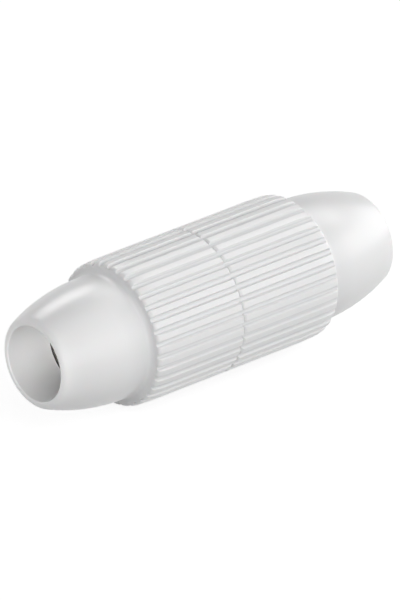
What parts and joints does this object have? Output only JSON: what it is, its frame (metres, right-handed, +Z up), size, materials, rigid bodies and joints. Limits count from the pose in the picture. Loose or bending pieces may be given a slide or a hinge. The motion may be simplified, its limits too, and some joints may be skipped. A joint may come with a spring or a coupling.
{
  "type": "coaxial cable coupler",
  "caption": "Barrel-shaped coaxial cable coupler: straight-ribbed plastic sleeves screw together over a metal screen tube with braid clamps and a screw terminal for the cable cores.",
  "frame": {"origin": "middle of the coupler's length, on its axis", "axes": "X along the cables, +X towards the sleeve with the spigot; +Z up, with a groove of the grip underneath"},
  "size_m": [0.0552, 0.019, 0.019],
  "materials": {
    "sleeve_plastic": "satin",
    "plated_metal": "satin",
    "insulator_plastic": "matte",
    "terminal_brass": "satin",
    "screw_steel": "satin"
  },
  "bodies": {
    "inner_unit": {"screen_tube": "plated_metal", "insulator": "insulator_plastic", "centre_terminal": "terminal_brass"},
    "left_sleeve": {"left_sleeve": "sleeve_plastic"},
    "right_sleeve": {"right_sleeve": "sleeve_plastic"},
    "left_terminal_screw": {"left_terminal_screw": "screw_steel"},
    "right_terminal_screw": {"right_terminal_screw": "screw_steel"},
    "left_clamp": {"left_clamp_plate": "plated_metal", "left_clamp_screw": "screw_steel"},
    "right_clamp": {"right_clamp_plate": "plated_metal", "right_clamp_screw": "screw_steel"}
  },
  "joints": [
    {"name": "left_sleeve_unscrew", "type": "hinge", "parent": "inner_unit", "child": "left_sleeve", "pos_m": [0, 0, 0], "axis": [-1, 0, 0], "range_deg": [0, 3600]},
    {"name": "right_sleeve_draw", "type": "slide", "parent": "inner_unit", "child": "right_sleeve", "axis": [1, 0, 0], "range_m": [0, 0.0301]},
    {"name": "left_terminal_screw_in", "type": "slide", "parent": "inner_unit", "child": "left_terminal_screw", "axis": [0, 0, -1], "range_m": [0, 0.0008]},
    {"name": "right_terminal_screw_in", "type": "slide", "parent": "inner_unit", "child": "right_terminal_screw", "axis": [0, 0, -1], "range_m": [0, 0.0008]},
    {"name": "left_clamp_in", "type": "slide", "parent": "inner_unit", "child": "left_clamp", "axis": [0, 0, -1], "range_m": [0, 0.0012]},
    {"name": "right_clamp_in", "type": "slide", "parent": "inner_unit", "child": "right_clamp", "axis": [0, 0, -1], "range_m": [0, 0.0012]}
  ],
  "couplings": [
    {"joint": "right_sleeve_draw", "follows": "left_sleeve_unscrew", "m_per_rad": 0.00047746}
  ]
}
